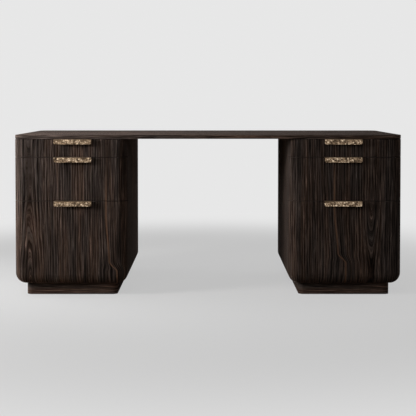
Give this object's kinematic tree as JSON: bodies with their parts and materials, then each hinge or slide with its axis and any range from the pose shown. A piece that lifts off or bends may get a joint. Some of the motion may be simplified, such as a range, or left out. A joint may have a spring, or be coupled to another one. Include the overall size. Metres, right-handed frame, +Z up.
{
  "type": "double-pedestal desk",
  "caption": "Executive desk: a thin slab over round-cornered drawer pedestals on recessed plinths, with cast edge pulls and full-extension drawers.",
  "frame": {"origin": "on the floor, under the middle of the desk's footprint with its pulls", "axes": "+X along the desk to the right of a person who faces the drawers, +Y from the drawers to the back, +Z up"},
  "size_m": [1.8288, 0.8328, 0.762],
  "materials": {
    "case_wood": "dark burnished oak, satin, wire-brushed grain",
    "plinth_wood": "dark burnished oak, satin, horizontal grain",
    "tray_wood": "pale hardwood, clear satin lacquer",
    "cast_bronze": "cast bronze, pebbled, satin",
    "slide_steel": "zinc-plated pressed steel",
    "bar_steel": "black powder coat",
    "fastener_steel": "zinc-plated steel",
    "nylon": "dark nylon"
  },
  "bodies": {
    "root": {"desktop": "case_wood", "stiffening_bars": "bar_steel", "top_bolts": "fastener_steel", "top_inserts": "fastener_steel", "glides": "nylon", "cabinet_slides": "slide_steel", "left_outer_side": "case_wood", "left_inner_side": "case_wood", "left_back": "case_wood", "left_bottom": "case_wood", "left_top_panel": "case_wood", "left_plinth": "plinth_wood", "right_outer_side": "case_wood", "right_inner_side": "case_wood", "right_back": "case_wood", "right_bottom": "case_wood", "right_top_panel": "case_wood", "right_plinth": "plinth_wood"},
    "left_pencil_drawer": {"left_pencil_front": "case_wood", "left_pencil_pull": "cast_bronze", "left_pencil_tray": "tray_wood", "left_pencil_tray_bottom": "tray_wood", "left_pencil_runners": "slide_steel", "left_pencil_screws": "fastener_steel"},
    "left_pencil_carriers": {"left_pencil_carriers": "slide_steel"},
    "left_stationery_drawer": {"left_stationery_front": "case_wood", "left_stationery_pull": "cast_bronze", "left_stationery_tray": "tray_wood", "left_stationery_tray_bottom": "tray_wood", "left_stationery_runners": "slide_steel", "left_stationery_screws": "fastener_steel"},
    "left_stationery_carriers": {"left_stationery_carriers": "slide_steel"},
    "left_file_drawer": {"left_file_front": "case_wood", "left_file_pull": "cast_bronze", "left_file_tray": "tray_wood", "left_file_tray_bottom": "tray_wood", "left_file_runners": "slide_steel", "left_file_screws": "fastener_steel"},
    "left_file_carriers": {"left_file_carriers": "slide_steel"},
    "right_pencil_drawer": {"right_pencil_front": "case_wood", "right_pencil_pull": "cast_bronze", "right_pencil_tray": "tray_wood", "right_pencil_tray_bottom": "tray_wood", "right_pencil_runners": "slide_steel", "right_pencil_screws": "fastener_steel"},
    "right_pencil_carriers": {"right_pencil_carriers": "slide_steel"},
    "right_stationery_drawer": {"right_stationery_front": "case_wood", "right_stationery_pull": "cast_bronze", "right_stationery_tray": "tray_wood", "right_stationery_tray_bottom": "tray_wood", "right_stationery_runners": "slide_steel", "right_stationery_screws": "fastener_steel"},
    "right_stationery_carriers": {"right_stationery_carriers": "slide_steel"},
    "right_file_drawer": {"right_file_front": "case_wood", "right_file_pull": "cast_bronze", "right_file_tray": "tray_wood", "right_file_tray_bottom": "tray_wood", "right_file_runners": "slide_steel", "right_file_screws": "fastener_steel"},
    "right_file_carriers": {"right_file_carriers": "slide_steel"}
  },
  "joints": [
    {"name": "left_pencil_slide", "type": "slide", "parent": "root", "child": "left_pencil_drawer", "axis": [0, -1, 0], "range_m": [0, 0.58]},
    {"name": "left_pencil_carrier_slide", "type": "slide", "parent": "root", "child": "left_pencil_carriers", "axis": [0, -1, 0], "range_m": [0, 0.29]},
    {"name": "left_stationery_slide", "type": "slide", "parent": "root", "child": "left_stationery_drawer", "axis": [0, -1, 0], "range_m": [0, 0.58]},
    {"name": "left_stationery_carrier_slide", "type": "slide", "parent": "root", "child": "left_stationery_carriers", "axis": [0, -1, 0], "range_m": [0, 0.29]},
    {"name": "left_file_slide", "type": "slide", "parent": "root", "child": "left_file_drawer", "axis": [0, -1, 0], "range_m": [0, 0.58]},
    {"name": "left_file_carrier_slide", "type": "slide", "parent": "root", "child": "left_file_carriers", "axis": [0, -1, 0], "range_m": [0, 0.29]},
    {"name": "right_pencil_slide", "type": "slide", "parent": "root", "child": "right_pencil_drawer", "axis": [0, -1, 0], "range_m": [0, 0.58]},
    {"name": "right_pencil_carrier_slide", "type": "slide", "parent": "root", "child": "right_pencil_carriers", "axis": [0, -1, 0], "range_m": [0, 0.29]},
    {"name": "right_stationery_slide", "type": "slide", "parent": "root", "child": "right_stationery_drawer", "axis": [0, -1, 0], "range_m": [0, 0.58]},
    {"name": "right_stationery_carrier_slide", "type": "slide", "parent": "root", "child": "right_stationery_carriers", "axis": [0, -1, 0], "range_m": [0, 0.29]},
    {"name": "right_file_slide", "type": "slide", "parent": "root", "child": "right_file_drawer", "axis": [0, -1, 0], "range_m": [0, 0.58]},
    {"name": "right_file_carrier_slide", "type": "slide", "parent": "root", "child": "right_file_carriers", "axis": [0, -1, 0], "range_m": [0, 0.29]}
  ],
  "couplings": [
    {"joint": "left_pencil_carrier_slide", "follows": "left_pencil_slide", "ratio": 0.5},
    {"joint": "left_stationery_carrier_slide", "follows": "left_stationery_slide", "ratio": 0.5},
    {"joint": "left_file_carrier_slide", "follows": "left_file_slide", "ratio": 0.5},
    {"joint": "right_pencil_carrier_slide", "follows": "right_pencil_slide", "ratio": 0.5},
    {"joint": "right_stationery_carrier_slide", "follows": "right_stationery_slide", "ratio": 0.5},
    {"joint": "right_file_carrier_slide", "follows": "right_file_slide", "ratio": 0.5}
  ]
}
